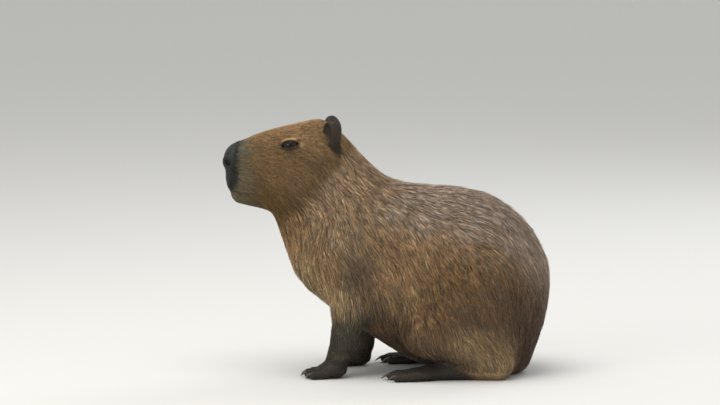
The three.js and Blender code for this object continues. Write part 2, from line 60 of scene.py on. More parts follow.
# top x, top z, bottom x, bottom z, half width, height of the widest point, squareness above and below
RIBS = dict(
    muzzle_front=[-351.5, 468.3, -343.9, 410.4, 38, 0.50, 3.0, 2.8],
    nose_top=[-332.0, 487.9, -329.8, 387.5, 44, 0.48, 3.0, 2.7],
    nose_bridge=[-303.8, 508.7, -302.7, 372.2, 47, 0.46, 2.9, 2.5],
    upper_lip_back=[-269.1, 524.0, -273.4, 363.4, 51, 0.44, 2.8, 2.4],
    eye_front=[-230.0, 534.9, -251.7, 351.4, 61, 0.45, 2.8, 2.3],
    brow=[-186.6, 544.7, -238.7, 329.6, 70, 0.47, 2.7, 2.2],
    ear_front=[-138.9, 551.3, -230.0, 303.4, 76, 0.46, 2.4, 2.2],
    ear_back=[-93.3, 519.6, -219.2, 272.8, 82, 0.46, 2.2, 2.1],
    nape=[-54.2, 478.1, -206.2, 235.7, 92, 0.47, 2.1, 2.1],
    neck_mid=[-11.9, 436.6, -182.3, 194.2, 106, 0.46, 2.1, 2.1],
    neck_base=[30.4, 417.0, -130.2, 150.5, 119, 0.45, 2.1, 2.2],
    withers=[84.6, 410.4, -47.7, 91.5, 128, 0.43, 2.1, 2.3],
    back_front=[156.2, 404.9, 30.4, 41.0, 137, 0.42, 2.1, 2.4],
    back_mid=[225.7, 388.6, 82.5, 15.0, 141, 0.42, 2.1, 2.4],
    loin=[282.1, 351.4, 112.8, 4.2, 142, 0.43, 2.1, 2.4],
    croup=[323.3, 303.4, 130.2, -8.9, 141, 0.45, 2.1, 2.3],
    rump_top=[350.5, 244.4, 143.2, -22.0, 134, 0.47, 2.1, 2.3],
    rump_back=[355.9, 181.1, 151.9, -35.1, 128, 0.49, 2.1, 2.2],
    rump_low=[342.9, 109.0, 158.4, -48.2, 112, 0.50, 2.1, 2.1],
    seat_back=[323.3, 47.9, 162.8, -61.3, 88, 0.50, 2.1, 2.1],
    seat_low=[301.6, -17.7, 164.9, -76.6, 66, 0.50, 2.1, 2.1],
    seat_end=[273.4, -83.2, 164.9, -94.1, 46, 0.50, 2.1, 2.1],
)


def catmull(K, n):
    K = np.asarray(K, float)
    ext = np.vstack([2 * K[0] - K[1], K, 2 * K[-1] - K[-2]])
    out = []
    for i in range(len(K) - 1):
        a, b, c, d = ext[i:i + 4]
        for j in range(n):
            t = j / n
            out.append(.5 * (2 * b + (c - a) * t + (2 * a - 5 * b + 4 * c - d) * t * t + (-a + 3 * b - 3 * c + d) * t ** 3))
    out.append(K[-1])
    return np.array(out)


_fr = catmull(list(RIBS.values()), 5)
_D, _V = _fr[:, 0:2], _fr[:, 2:4]
_L = np.linalg.norm(_D - _V, axis=1)
_U = (_D - _V) / _L[:, None]
_C = _V + (_D - _V) * _fr[:, 5:6]
_T = np.stack([_U[:, 1], -_U[:, 0]], 1)
_PAR = np.column_stack([_C, _U, _L * (1 - _fr[:, 5]), _L * _fr[:, 5], _fr[:, 4], _fr[:, 6], _fr[:, 7]])


def rib_at(x, z):
    """height v above the rib's widest point, up, down, half width, squareness above and below, rib number, distance in front"""
    sh = x.shape
    x, z = np.ravel(x), np.ravel(z)
    out = np.empty((len(x), 8))
    for a in range(0, len(x), 30000):
        X, Z = x[a:a + 30000], z[a:a + 30000]
        s = (X[:, None] - _C[None, :, 0]) * _T[None, :, 0] + (Z[:, None] - _C[None, :, 1]) * _T[None, :, 1]
        s0, s1 = s[:, :-1], s[:, 1:]
        ok = (s0 >= 0) & (s1 < 0)
        tau = np.clip(s0 / np.where(ok, s0 - s1, 1), 0, 1)
        cx = _C[:-1, 0] + (_C[1:, 0] - _C[:-1, 0]) * tau
        cz = _C[:-1, 1] + (_C[1:, 1] - _C[:-1, 1]) * tau
        dist = np.where(ok, np.hypot(X[:, None] - cx, Z[:, None] - cz), 1e9)
        k = dist.argmin(1)
        r = np.arange(len(k))
        none = dist[r, k] > 1e8
        tt = tau[r, k]
        pre = none & (s[:, 0] < 0)
        k = np.where(none, np.where(pre, 0, len(_C) - 2), k)
        tt = np.where(none, np.where(pre, 0, 1), tt)
        par = _PAR[k] + (_PAR[k + 1] - _PAR[k]) * tt[:, None]
        o = out[a:a + 30000]
        o[:, 0] = ((X - par[:, 0]) * par[:, 2] + (Z - par[:, 1]) * par[:, 3]) / np.hypot(par[:, 2], par[:, 3])
        o[:, 1:6] = par[:, 4:9]
        o[:, 6] = (k + tt) / 5.0
        o[:, 7] = -s[:, 0]
    return [out[:, i].reshape(sh) for i in range(8)]


def smin(a, b, k):
    h = np.maximum(k - np.abs(a - b), 0) / k
    return np.minimum(a, b) - h * h * k * .25


def smax(a, b, k):
    return -smin(-a, -b, k)


def step(a, b, x):
    t = np.clip((x - a) / (b - a), 0, 1)
    return t * t * (3 - 2 * t)


def loft(R, y, z):
    v, up, dn, w, nu, nl, t, front = R
    top = v > 0
    h, n = np.where(top, up, dn), np.where(top, nu, nl)
    rho = np.maximum((np.abs(y / w) ** n + np.abs(v / h) ** n) ** (1 / n), 1e-6)
    r = np.hypot(y, v)
    f = np.where(r < 1e-6, -np.minimum(w, h), r - r / rho)
    return smax(smax(f, front, 26.0), -z, 34.0)


def turn(ax, ay, az):
    cx, sx, cy, sy, cz, sz = math.cos(ax), math.sin(ax), math.cos(ay), math.sin(ay), math.cos(az), math.sin(az)
    return (np.array([[cz, -sz, 0], [sz, cz, 0], [0, 0, 1]]) @ np.array([[cy, 0, sy], [0, 1, 0], [-sy, 0, cy]])
            @ np.array([[1, 0, 0], [0, cx, -sx], [0, sx, cx]]))


def ellipsoid(p, c, r, R=None):
    q = p - np.asarray(c, float)
    if R is not None:
        q = q @ R
    r = np.asarray(r, float)
    k0 = np.sqrt(((q / r) ** 2).sum(-1))
    k1 = np.sqrt(((q / (r * r)) ** 2).sum(-1))
    return k0 * (k0 - 1) / np.maximum(k1, 1e-9)


def cone(p, a, b, ra, rb):
    a, b = np.asarray(a, float), np.asarray(b, float)
    e = b - a
    h = np.clip(((p - a) @ e) / (e @ e), 0, 1)
    return np.sqrt(((p - a - h[..., None] * e) ** 2).sum(-1)) - (ra + (rb - ra) * h)


VOL, TOES = [], []


def volume(k, kind, *a):
    a = list(a)
    if kind is ellipsoid:
        m = max(a[1])
        c = np.asarray(a[0], float)
        lo, hi = c - m, c + m
    else:
        m = max(a[2:4])
        lo, hi = np.minimum(a[0], a[1]) - m, np.maximum(a[0], a[1]) + m
    VOL.append((k, kind, a, lo - k - 12, hi + k + 12))


for s in (-1, 1):
    volume(30, ellipsoid, [-190, s * 48, 410], (54, 26, 42))
    volume(14, ellipsoid, [-212, s * 43, 522], (27, 12, 9))
    volume(10, ellipsoid, [EYE_C[0], s * (EYE_C[1] - 4), EYE_C[2]], (23, 12, 16))
    volume(12, ellipsoid, [-322, s * 20, 420], (24, 24, 28))
    volume(9, ellipsoid, [-334, s * 26, 463], (16, 15, 19))
volume(20, ellipsoid, [-322, 0, 470], (28, 40, 30))
volume(16, cone, [-314, 0, 389], [-250, 0, 386], 21, 30)
LEGS = {}
for side, s, back, fwd in (("left", -1, 0, 0), ("right", 1, FORE_BACK, -HIND_FWD)):
    sh, el, wr = (np.array(v, float) for v in ([-98 + back * .35, s * 82, 258], [-74 + back * .8, s * 93, 158], [-103 + back, s * 88, 46]))
    volume(50, ellipsoid, [-58 + back * .3, s * 73, 300], (54, 46, 88), turn(0, -.3, 0))
    volume(32, cone, sh, el, 54, 43)
    volume(22, cone, el, wr, 39, 23)
    volume(14, cone, wr, wr + (-8, 0, -22), 22, 21)
    volume(14, ellipsoid, wr + (-16, 0, -30), (34, 32, 17))
    n = 0
    for dy, deg, ln in ((-23, -16, 25), (-8, -5, 34), (9, 5, 34), (24, 17, 25)):
        a = math.radians(deg)
        st = wr + (-30, dy, -36)
        en = st + (-math.cos(a) * ln, math.sin(a) * ln, -1)
        volume(6, cone, st, en, 11.5, 10)
        n += 1
        TOES.append(("foreclaw_%s_%d" % (side, n), en, a, 15, 4.2))
    hip, kn, he = (np.array(v, float) for v in ([214, s * 90, 212], [88 + fwd, s * 120, 108], [240 + fwd, s * 113, 38]))
    volume(24, cone, hip, kn, 83, 53)
    volume(26, cone, kn + (0, s * 2, -10), he, 44, 37)
    volume(16, cone, he + (-4, 0, -17), [92 + fwd, s * 123, 15], 23, 17)
    volume(14, ellipsoid, [74 + fwd, s * 123, 13], (40, 33, 15))
    n = 0
    for dy, deg, ln in ((-23, -9, 40), (0, 0, 52), (23, 9, 40)):
        a = math.radians(deg)
        st = np.array([62 + fwd, s * 123 + dy, 10.])
        en = st + (-math.cos(a) * ln, math.sin(a) * ln, -1.5)
        volume(8, cone, st, en, 11.5, 9.5)
        n += 1
        TOES.append(("hindclaw_%s_%d" % (side, n), en, a, 19, 5))
    LEGS[side] = dict(sh=sh, el=el, wr=wr, hip=hip, kn=kn, he=he, s=s)


def ears(p):
    """the ears' distance, and how far into the hollow a point lies"""
    out, hol = None, None
    for s in (-1, 1):
        c, R = EAR_C * (1, s, 1), turn(-s * .22, .1, s * .66)
        o = smin(ellipsoid(p, c, EAR_OUT, R), cone(p, (c[0] - 2, s * 40, c[2] - 30), c + (2, -s * 3, -8), 15, 12), 8)
        h = ellipsoid(p, c + R @ np.array([-6., s * 12, 4.]), EAR_IN, R)
        e = smax(o, -h, 4)
        out, hol = (e, h) if out is None else (np.minimum(out, e), np.minimum(hol, h))
    return out, hol


def outline(p, R=None):
    """distance to the outline at the tips of the coat, without ears or floor"""
    x, y, z = p[..., 0], p[..., 1], p[..., 2]
    f = loft(rib_at(x, z) if R is None else R, y, z)
    for k, kind, a, lo, hi in VOL:
        ok = (x > lo[0]) & (x < hi[0]) & (y > lo[1]) & (y < hi[1]) & (z > lo[2]) & (z < hi[2])
        if ok.any():
            f[ok] = smin(f[ok], kind(p[ok], *a), k)
    return f


# side-view heights that more than one step uses
def head_amount(x, z):
    """1 on the head, 0 on the body, across the line behind ears and jaw"""
    d = (x + 158) * -0.762 + (z - 425) * 0.648
    return step(-26, 22, d)


def leg_amount(x, z):
    """1 on the lower legs and feet"""
    return step(150, 95, z) * step(-5, -30, x - 0.35 * z) + step(62, 40, z) * step(190, 150, x) + step(36, 12, z) * step(150, 190, x)


def coat_depth(x, y, z):
    hd = head_amount(x, z)
    muz = step(-262, -318, x) * hd
    low = np.clip(leg_amount(x, z), 0, 1)
    d = 10.5 * (1 - hd) + 3.2 * hd
    d = d * (1 - muz) + 1.2 * muz
    foot = step(60, 38, z)
    return d * (1 - low) + (3.2 * (1 - foot) + 1.0 * foot) * low


MOUTH_X, MOUTH_Z = [-360, -345, -330, -310, -290, -272, -262], [404, 402, 398.5, 393, 389, 389.5, 393]
EYE_W = {s: np.array([-.24, s * .93, .27]) / np.linalg.norm([-.24, .93, .27]) for s in (-1, 1)}


def eye_frame(s):
    w = EYE_W[s]
    u = np.array([-1.0, 0, -.10])
    u -= w * (u @ w)
    u /= np.linalg.norm(u)
    v = np.cross(w, u)
    if v[2] < 0:
        v = -v
    return u, v, w


def skin(p, R=None):
    """distance to the skin: the outline drawn in by the coat's depth, with the small forms of face and ears"""
    x, y, z = p[..., 0], p[..., 1], p[..., 2]
    f = outline(p, R) + coat_depth(x, y, z)
    ay = np.abs(y)
    near = (x < -255) & (z > 360)
    if near.any():
        X, Y, Z = x[near], ay[near], z[near]
        g = f[near]
        zm = np.interp(X, MOUTH_X, MOUTH_Z)
        m = step(-262, -272, X)
        g = g + 2.6 * np.exp(-((Z - zm) / 2.3) ** 2) * m - 0.9 * np.exp(-((Z - zm - 6) / 4.5) ** 2) * m
        # cleft of the upper lip, fold over the nostril, edge of the bare nose
        g = g + 2.4 * np.exp(-(Y / 2.2) ** 2) * step(-325, -340, X) * step(398, 404, Z) * step(466, 452, Z)
        ring = np.sqrt(((X + 341) / 14) ** 2 + ((Y - 34) / 14) ** 2 + ((Z - 461) / 11) ** 2)
        g = g - 1.3 * np.exp(-((ring - 1.12) / .22) ** 2)
        for k in range(3):
            zz = 446 - 13 * k + (X + 330) * .12
            g = g + .5 * np.exp(-((Z - zz) / 3.0) ** 2) * step(-300, -330, X) * step(14, 24, Y)
        f[near] = g
        for s in (-1, 1):
            q = p[near]
            n1 = ellipsoid(q, [-343, s * 37, 461], (9, 7, 5.5), turn(s * .2, .35, s * .6))
            f[near] = smax(f[near], -n1, 2.5)
    for s in (-1, 1):
        c = EYE_C * (1, s, 1)
        d = p - c
        ok = (d ** 2).sum(-1) < 46 ** 2
        if not ok.any():
            continue
        q = d[ok]
        u, v, w = eye_frame(s)
        U, V, W = q @ u, q @ v, q @ w
        r = np.sqrt((q ** 2).sum(-1))
        g = f[ok]
        g = smin(g, r - (EYE_R + 2.0) + .5 * np.maximum(np.abs(V + 1) - 10, 0), 6)
        # heavy upper lid with a fold above it, a softer bag below
        g = g - 2.0 * np.exp(-((V - 10.5) / 3.2) ** 2) * np.exp(-(U / 20) ** 4) * (W > 0)
        g = g + 1.6 * np.exp(-((V - 17.5) / 2.8) ** 2) * np.exp(-(U / 23) ** 4) * (W > 0)
        g = g + 1.1 * np.exp(-((V + 13.5 - U * U * .012) / 2.4) ** 2) * np.exp(-(U / 22) ** 4) * (W > 0)
        bowt, bowb = 1 - np.abs(U / 20.0) ** 3, 1 - (U / 20.0) ** 2
        alm = np.maximum(np.maximum(V - 5.8 * bowt, -8.8 * bowb - V), 2 - W)
        g = smax(g, -alm, 1.0)
        f[ok] = g
    nearear = (np.abs(x - EAR_C[0]) < 50) & (np.abs(ay - EAR_C[1]) < 48) & (np.abs(z - EAR_C[2] + 8) < 60)
    if nearear.any():
        e, h = ears(p[nearear])
        f[nearear] = smin(f[nearear], e + .7, 7)
    return np.maximum(f, -z)


# ------------------------------------------------------------------ grid, surface, samples
def spaced(parts):
    out = [parts[0][0]]
    for a, b, h in parts:
        n = max(1, int(round((b - a) / h)))
        out += list(a + (b - a) * (np.arange(n) + 1) / n)
    return np.array(out)


G = 1.0
xs = spaced([(-368, -268, 2.3 * G), (-268, -92, 2.5 * G), (-92, -30, 5 * G), (-30, 66, 3.6 * G), (66, 372, 6 * G)])
ys = spaced([(-184, -90, 5 * G), (-90, -62, 3.2 * G), (-62, 62, 2.5 * G), (62, 90, 3.2 * G), (90, 184, 5 * G)])
zs = spaced([(-6, 48, 3 * G), (48, 330, 6 * G), (330, 430, 3.0 * G), (430, 572, 2.3 * G)])
_X, _Z = np.meshgrid(xs, zs, indexing="ij")
R2 = rib_at(_X, _Z)
P3 = np.stack(np.meshgrid(xs, ys, zs, indexing="ij"), -1)
R3 = [np.broadcast_to(a[:, None, :], P3.shape[:3]) for a in R2]
FO = outline(P3, R3)
FS = skin(P3, R3)


def nets(xs, ys, zs, F):
    nx, ny, nz = F.shape
    ins = F < 0
    n = sum(ins[i:nx - 1 + i, j:ny - 1 + j, k:nz - 1 + k].astype(np.int8) for i in (0, 1) for j in (0, 1) for k in (0, 1))
    act = (n > 0) & (n < 8)
    ids = -np.ones(act.shape, int)
    idx = np.argwhere(act)
    ids[act] = np.arange(len(idx))
    I, J, K = idx.T
    pos, cnt = np.zeros((len(idx), 3)), np.zeros(len(idx))
    for ax in range(3):
        oth = [a for a in range(3) if a != ax]
        for o1 in (0, 1):
            for o2 in (0, 1):
                off = [0, 0, 0]
                off[oth[0]], off[oth[1]] = o1, o2
                i0, j0, k0 = I + off[0], J + off[1], K + off[2]
                o = [0, 0, 0]
                o[ax] = 1
                i1, j1, k1 = i0 + o[0], j0 + o[1], k0 + o[2]
                fa, fb = F[i0, j0, k0], F[i1, j1, k1]
                cr = (fa < 0) != (fb < 0)
                t = np.where(cr, fa / np.where(cr, fa - fb, 1), 0)
                A, B = np.stack([xs[i0], ys[j0], zs[k0]], 1), np.stack([xs[i1], ys[j1], zs[k1]], 1)
                pos += np.where(cr[:, None], A + (B - A) * t[:, None], 0)
                cnt += cr
    pos /= cnt[:, None]
    quads = []
    for ax in range(3):
        a, b = [q for q in range(3) if q != ax]
        s0, s1 = [slice(1, -1)] * 3, [slice(1, -1)] * 3
        s0[ax], s1[ax] = slice(0, -1), slice(1, None)
        fa, fb = ins[tuple(s0)], ins[tuple(s1)]
        cr = fa != fb
        e = np.argwhere(cr)
        fl = fa[cr]
        e[:, a] += 1
        e[:, b] += 1

        def cell(da, db):
            q = e.copy()
            q[:, a] -= da
            q[:, b] -= db
            return ids[q[:, 0], q[:, 1], q[:, 2]]
        q = np.stack([cell(1, 1), cell(0, 1), cell(0, 0), cell(1, 0)], 1)
        if ax == 1:
            q = q[:, ::-1]
        quads.append(np.where(fl[:, None], q, q[:, ::-1]))
    return pos, np.vstack(quads)


def newton(p, fn, n=2, e=.5, lim=1.6):
    for _ in range(n):
        f = fn(p)
        g = np.empty_like(p)
        for a in range(3):
            d = np.zeros(3)
            d[a] = e
            g[:, a] = (fn(p + d) - fn(p - d)) / (2 * e)
        m = -(f / np.maximum((g * g).sum(1), .05))[:, None] * g
        l = np.linalg.norm(m, axis=1)
        p = p + m * np.minimum(1, lim / np.maximum(l, 1e-9))[:, None]
    return p


def sampler(F):
    """trilinear value of a grid field at points"""
    def at(p):
        out = 0
        ii = []
        for v, g in ((p[:, 0], xs), (p[:, 1], ys), (p[:, 2], zs)):
            i = np.clip(np.searchsorted(g, v) - 1, 0, len(g) - 2)
            ii.append((i, np.clip((v - g[i]) / (g[i + 1] - g[i]), 0, 1)))
        (i, a), (j, b), (k, c) = ii
        for di, wa in ((0, 1 - a), (1, a)):
            for dj, wb in ((0, 1 - b), (1, b)):
                for dk, wc in ((0, 1 - c), (1, c)):
                    out = out + F[i + di, j + dj, k + dk] * wa * wb * wc
        return out
    return at


def grad(fn, p, e=3.0):
    g = np.empty_like(p)
    for a in range(3):
        d = np.zeros(3)
        d[a] = e
        g[:, a] = (fn(p + d) - fn(p - d)) / (2 * e)
    return g


def unit(v):
    return v / np.maximum(np.linalg.norm(v, axis=-1, keepdims=True), 1e-9)


verts, quads = nets(xs, ys, zs, FS)
verts = newton(verts, skin, 2)
verts[:, 2] = np.maximum(verts[:, 2], 0)


def wave(p, scale, seed, n=7):
    """smooth noise, about -1 to 1"""
    r = np.random.default_rng(seed)
    out = 0
    for _ in range(n):
        k = r.normal(size=3)
        k = k / np.linalg.norm(k) * r.uniform(.6, 1.5) * 2 * math.pi / scale
        out = out + np.sin(p @ k + r.uniform(0, 7))
    return out / math.sqrt(n) / 1.1


# ------------------------------------------------------------------ markings with painted light and shade, the same for skin and coat
def lin(r, g, b):
    c = np.array([r, g, b]) / 255.0
    return np.where(c <= .04045, c / 12.92, ((c + .055) / 1.055) ** 2.4)


# tones: belly, thigh and rump are darkened partly as painted shade, back and forehead lightened partly as painted
# highlight
TONE = dict(
    flank=lin(152, 121, 86), back=lin(158, 140, 126), neck=lin(156, 131, 103), throat=lin(172, 149, 112), jaw=lin(118, 90, 52),
    forehead_lit=lin(158, 126, 86), cheek=lin(130, 100, 64), muzzle=lin(108, 97, 73), nose=lin(27, 29, 24), nosetop=lin(118, 119, 102),
    thigh_shaded=lin(112, 83, 49), rump=lin(72, 52, 33), shank=lin(158, 132, 98), foot=lin(46, 38, 29), foreleg=lin(78, 70, 54), ear=lin(50, 43, 31),
    belly_shaded=lin(86, 65, 40),
)


def mix(c, name, m):
    return c + (TONE[name] - c) * m[:, None]


def blob(x, z, cx, cz, rx, rz, soft=.5):
    d = np.sqrt(((x - cx) / rx) ** 2 + ((z - cz) / rz) ** 2)
    return step(1 + soft, 1 - soft, d)


def markings_and_painted_light(p):
    x, y, z = p[:, 0], np.abs(p[:, 1]), p[:, 2]
    v, up, dn, w, nu, nl, t, fr = rib_at(x, z)
    q = np.where(v > 0, v / up, v / dn)
    n1, n2 = wave(p, 60, 3), wave(p, 22, 4)
    q = q + .08 * n1
    c = np.tile(TONE["flank"], (len(p), 1))
    # lighter, greyer top of the back: partly its colour, partly painted highlight from the light above
    c = mix(c, "back", step(.30, .86, q) * step(7.5, 10.0, t))
    c = mix(c, "neck", step(6.2, 7.6, t) * step(11.2, 9.0, t) * step(-.6, 0, q) * .85)
    # darker underside: partly the belly's colour, partly painted shade
    c = mix(c, "belly_shaded", step(-.05, -.60, q) * step(9.6, 11.4, t) * .9)
    c = mix(c, "throat", step(7.0, 8.2, t) * step(11.4, 9.8, t) * step(-.30, -.75, q) * .8)
    # darker thigh below the flank: partly its colour, partly painted shade
    c = mix(c, "thigh_shaded", blob(x, z, 190, 158, 118, 118, .32) * .9)
    # dark low rump: partly its colour, partly painted shade where it turns back and down
    c = mix(c, "rump", step(215, 300, x) * step(280, 110, z) * .92)
    # painted shade in the crease round the elbow, on the outer side
    c = c * (1 - .46 * blob(x, z, -66, 238, 36, 42, .7) * step(40, 90, y))[:, None]
    heel = blob(x, z, 226, 54, 58, 56, .35) * step(60, 92, y)
    c = mix(c, "shank", np.maximum(heel, blob(x, z, 178, 92, 46, 34, .6) * step(70, 100, y)) * .78)
    hd = head_amount(x, z)
    c = mix(c, "cheek", hd)
    # lighter top of the head: partly its colour, partly painted light falling from above
    c = mix(c, "forehead_lit", hd * step(480, 525, z + .15 * (x + 213)))
    c = mix(c, "jaw", hd * step(432, 392, z + .25 * (x + 250)))
    c = mix(c, "muzzle", hd * step(-258, -318, x + .10 * (z - 440) + 8 * n2))
    c = mix(c, "nosetop", hd * step(-292, -330, x) * step(468, 484, z) * .8)
    c = mix(c, "nose", hd * step(-312, -327, x - .10 * (z - 450) + 3 * n2) * step(396, 408, z))
    # nostril hollows painted dark as shade
    for s in (-1, 1):
        nostril_shade = ellipsoid(p, [-343, s * 37, 461], (10, 8.5, 6.5), turn(s * .2, .35, s * .6))
        c = c * (1 - .85 * step(1.5, -2, nostril_shade))[:, None]
    lo = np.zeros(len(p))
    for side in LEGS:
        g = LEGS[side]
        lo = np.maximum(lo, step(22, 8, cone(p, g["el"], g["wr"], 36, 23)) * step(172, 118, z))
    c = mix(c, "foreleg", lo)
    c = mix(c, "foot", step(58, 36, z + 5 * n2) * step(192, 150, x + 1.3 * (z - 20) + 9 * n2))
    c = c * (1 + .07 * n1 + .05 * n2)[:, None]
    # bare dark skin round the eye and inside the ear
    for s in (-1, 1):
        d = p - EYE_C * (1, s, 1)
        u, vv, ww = eye_frame(s)
        e = np.sqrt(((d @ u) / 2.05) ** 2 + (d @ vv + 1.5) ** 2 + (.35 * (d @ ww - 13)) ** 2)
        lidd = step(12.5, 10.2, e)
        c = c * (1 - .86 * lidd)[:, None]
        tear = np.exp(-(((d @ u) - 23) / 5) ** 2 - (((d @ vv) - 1 ) / 4) ** 2) * (np.abs(d @ ww - 9) < 14)
        c = c * (1 - .55 * tear)[:, None]
        brow = np.exp(-(((d @ u) - 1) / 18) ** 2 - (((d @ vv) - 13.5) / 3.6) ** 2) * (np.abs(d @ ww - 6) < 14)
        c = c * (1 + .45 * brow)[:, None]
        # painted shade under the bag below the eye
        under = np.exp(-(((d @ u) - 6) / 12) ** 2 - (((d @ vv) + 19) / 7) ** 2) * (np.abs(d @ ww - 9) < 14)
        c = c * (1 - .3 * under)[:, None]
    me = (np.abs(x - EAR_C[0]) < 34) & (y > 40) & (z > 488)
    if me.any():
        e, h = ears(p[me])
        a = step(3, -1, e)
        # painted shade deeper in the ear hollow, on the dark ear skin
        ce = TONE["ear"] * (1 - .45 * step(3, -2, h))[:, None]
        c[me] = c[me] + (ce - c[me]) * a[:, None]
    return np.clip(c * (1, .985, .93), .004, 1)


# ------------------------------------------------------------------ mesh helpers
def make_mesh(name, v, faces, n_per, smooth=True):
    me = bpy.data.meshes.new(name)
    me.vertices.add(len(v))
    me.vertices.foreach_set("co", ((v + SHIFT) / 1000.0).astype(np.float32).ravel())
    me.loops.add(len(faces) * n_per)
    me.loops.foreach_set("vertex_index", faces.astype(np.int32).ravel())
    me.polygons.add(len(faces))
    me.polygons.foreach_set("loop_start", np.arange(0, len(faces) * n_per, n_per, dtype=np.int32))
    me.polygons.foreach_set("loop_total", np.full(len(faces), n_per, dtype=np.int32))
    me.update(calc_edges=True)
    me.polygons.foreach_set("use_smooth", np.full(len(faces), smooth, dtype=bool))
    ob = bpy.data.objects.new(name, me)
    bpy.context.scene.collection.objects.link(ob)
    return ob


def paint(ob, name, rgb):
    at = ob.data.color_attributes.new(name, "FLOAT_COLOR", "POINT")
    at.data.foreach_set("color", np.column_stack([rgb, np.ones(len(rgb))]).astype(np.float32).ravel())


def uv_map(ob, name, uv_vert, faces):
    lay = ob.data.uv_layers.new(name=name)
    lay.uv.foreach_set("vector", uv_vert[faces.ravel()].astype(np.float32).ravel())


# ------------------------------------------------------------------ materials
def material(name):
    m = bpy.data.materials.new(name)
    m.use_nodes = True
    nt = m.node_tree
    return m, nt, nt.nodes["Principled BSDF"]


def node(nt, kind, **kw):
    n = nt.nodes.new(kind)
    for k, v in kw.items():
        setattr(n, k, v)
    return n


def painted(name, grain, grain_amount, rough, bump, bump_scale, spec=.3, sheen=0.0, dark=1.0):
    m, nt, b = material(name)
    L = nt.links.new
    at = node(nt, "ShaderNodeAttribute", attribute_name="Col")
    geo = node(nt, "ShaderNodeTexCoord")
    nz = node(nt, "ShaderNodeTexNoise")
    nz.inputs["Scale"].default_value = grain
    nz.inputs["Detail"].default_value = 5
    nz.inputs["Roughness"].default_value = .65
    L(geo.outputs["Object"], nz.inputs["Vector"])
    rg = node(nt, "ShaderNodeMapRange")
    rg.inputs["From Min"].default_value = .3
    rg.inputs["From Max"].default_value = .7
    rg.inputs["To Min"].default_value = dark * (1 - grain_amount)
    rg.inputs["To Max"].default_value = dark * (1 + grain_amount)
    L(nz.outputs["Fac"], rg.inputs["Value"])
    mul = node(nt, "ShaderNodeVectorMath", operation="MULTIPLY")
    L(at.outputs["Color"], mul.inputs[0])
    L(rg.outputs["Result"], mul.inputs[1])
    L(mul.outputs["Vector"], b.inputs["Base Color"])
    rr = node(nt, "ShaderNodeMapRange")
    rr.inputs["To Min"].default_value = rough - .08
    rr.inputs["To Max"].default_value = rough + .08
    L(nz.outputs["Fac"], rr.inputs["Value"])
    L(rr.outputs["Result"], b.inputs["Roughness"])
    b.inputs["Specular IOR Level"].default_value = spec
    b.inputs["Sheen Weight"].default_value = sheen
    b.inputs["Sheen Roughness"].default_value = .5
    if bump:
        n2 = node(nt, "ShaderNodeTexNoise")
        n2.inputs["Scale"].default_value = bump_scale
        n2.inputs["Detail"].default_value = 4
        L(geo.outputs["Object"], n2.inputs["Vector"])
        bp = node(nt, "ShaderNodeBump")
        bp.inputs["Strength"].default_value = bump
        bp.inputs["Distance"].default_value = .001
        L(n2.outputs["Fac"], bp.inputs["Height"])
        L(bp.outputs["Normal"], b.inputs["Normal"])
    return m


M_SKIN = painted("skin", 260, .28, .62, .5, 900, spec=.35, dark=.9)
M_COAT = painted("coat", 220, .22, .62, 0, 1, spec=.28, sheen=.12)
M_CLAW = painted("claw", 300, .25, .45, .3, 700, spec=.5)


def eye_material():
    m, nt, b = material("eye")
    L = nt.links.new
    at = node(nt, "ShaderNodeAttribute", attribute_name="Col")
    tc = node(nt, "ShaderNodeTexCoord")
    nz = node(nt, "ShaderNodeTexNoise")
    nz.inputs["Scale"].default_value = 500
    L(tc.outputs["Object"], nz.inputs["Vector"])
    rg = node(nt, "ShaderNodeMapRange")
    rg.inputs["To Min"].default_value = .6
    rg.inputs["To Max"].default_value = 1.4
    L(nz.outputs["Fac"], rg.inputs["Value"])
    mul = node(nt, "ShaderNodeVectorMath", operation="MULTIPLY")
    L(at.outputs["Color"], mul.inputs[0])
    L(rg.outputs["Result"], mul.inputs[1])
    L(mul.outputs["Vector"], b.inputs["Base Color"])
    b.inputs["Roughness"].default_value = .07
    b.inputs["Specular IOR Level"].default_value = .22
    b.inputs["Coat Weight"].default_value = .12
    b.inputs["Coat Roughness"].default_value = .03
    return m


M_EYE = eye_material()

# ------------------------------------------------------------------ skin
skin_ob = make_mesh("skin", verts, quads, 4)
paint(skin_ob, "Col", markings_and_painted_light(verts))
skin_ob.data.materials.append(M_SKIN)
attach(skin_ob, "root")
FLESH = ["head", "neck", "trunk", "ear_left", "ear_right"] + [k + s for k in ("foreleg_", "forefoot_", "hindleg_", "hindfoot_") for s in ("left", "right")]
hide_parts(*FLESH)
print("skin tris", len(quads) * 2, "x", verts.min(0), verts.max(0))

